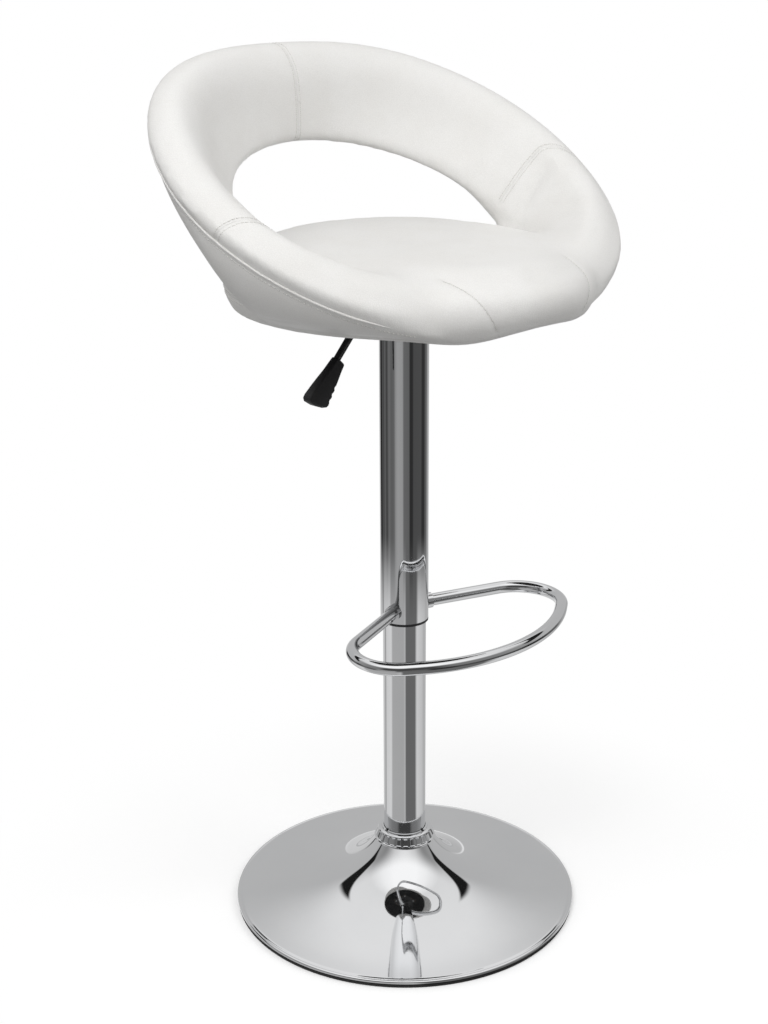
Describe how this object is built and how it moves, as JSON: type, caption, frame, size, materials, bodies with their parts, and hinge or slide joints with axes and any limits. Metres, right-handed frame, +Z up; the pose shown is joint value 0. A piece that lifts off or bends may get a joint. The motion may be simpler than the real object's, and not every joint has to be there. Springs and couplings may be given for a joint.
{
  "type": "bar stool",
  "caption": "Height-adjustable swivel bar stool: white padded bucket seat with an open ring back on a chrome gas-lift column, with a bent-tube foot rest and a flared round base.",
  "frame": {"origin": "on the floor, on the column's axis, at the middle of the rubber ring's underside", "axes": "+Z up along the column, -Y out of the seat's open front, +Y through the middle of the back; the lever is on the -X side, at the sitter's right"},
  "size_m": [0.5638, 0.4459, 1.0001],
  "materials": {
    "chrome": "mirror-polished chrome plate",
    "bright_steel": "zinc-plated or ground steel",
    "cast_iron": "rough casting, painted dark",
    "rubber": "matte",
    "black_plastic": "fine-textured moulding",
    "black_steel": "satin black",
    "plywood": "raw plywood",
    "felt": "non-woven dust cloth on board",
    "leatherette": "satin, fine grain"
  },
  "bodies": {
    "base": {"base_plate": "chrome", "base_rubber_ring": "rubber", "ballast_disc": "cast_iron", "lower_tube": "chrome", "base_collar": "chrome", "tube_plug": "bright_steel", "lower_race": "bright_steel", "ball_cage": "bright_steel", "guide_bush": "black_plastic"},
    "swivel": {"piston_rod": "chrome", "rod_piston": "bright_steel", "upper_race": "bright_steel", "rod_clip": "bright_steel"},
    "lever": {"lever_rod": "black_steel", "lever_grip": "black_plastic", "pivot_pin": "bright_steel"},
    "release": {"release_pin": "bright_steel"},
    "lift": {"cylinder_gland": "bright_steel", "footrest": "chrome", "footrest_collar_left": "chrome", "footrest_collar_right": "chrome", "gas_cylinder": "black_steel", "lever_cheek_back": "black_steel", "lever_cheek_front": "black_steel", "plate_bolt_1": "bright_steel", "plate_bolt_2": "bright_steel", "plate_bolt_3": "bright_steel", "plate_bolt_4": "bright_steel", "ring_pad": "leatherette", "seat_board": "plywood", "seat_pad": "leatherette", "seat_plate": "black_steel", "sleeve": "chrome", "sleeve_bush": "black_plastic", "sleeve_cap": "bright_steel", "taper_hub": "black_steel", "tee_nut_1": "bright_steel", "tee_nut_2": "bright_steel", "tee_nut_3": "bright_steel", "tee_nut_4": "bright_steel", "under_cover": "felt"}
  },
  "joints": [
    {"name": "seat_swivel", "type": "hinge", "parent": "base", "child": "swivel", "pos_m": [0, 0, 0], "axis": [0, 0, 1], "continuous": true},
    {"name": "seat_height", "type": "slide", "parent": "swivel", "child": "lift", "axis": [0, 0, 1], "range_m": [-0.21, 0]},
    {"name": "lever_lift", "type": "hinge", "parent": "lift", "child": "lever", "pos_m": [-0.042, 0, 0.726], "axis": [0, 1, 0], "range_deg": [0, 5], "stiffness_Nm_per_rad": 4},
    {"name": "valve_pin", "type": "slide", "parent": "lift", "child": "release", "axis": [0, 0, 1], "range_m": [-0.004, 0], "stiffness_N_per_m": 400}
  ],
  "couplings": [
    {"joint": "valve_pin", "follows": "lever_lift", "m_per_rad": -0.042}
  ]
}
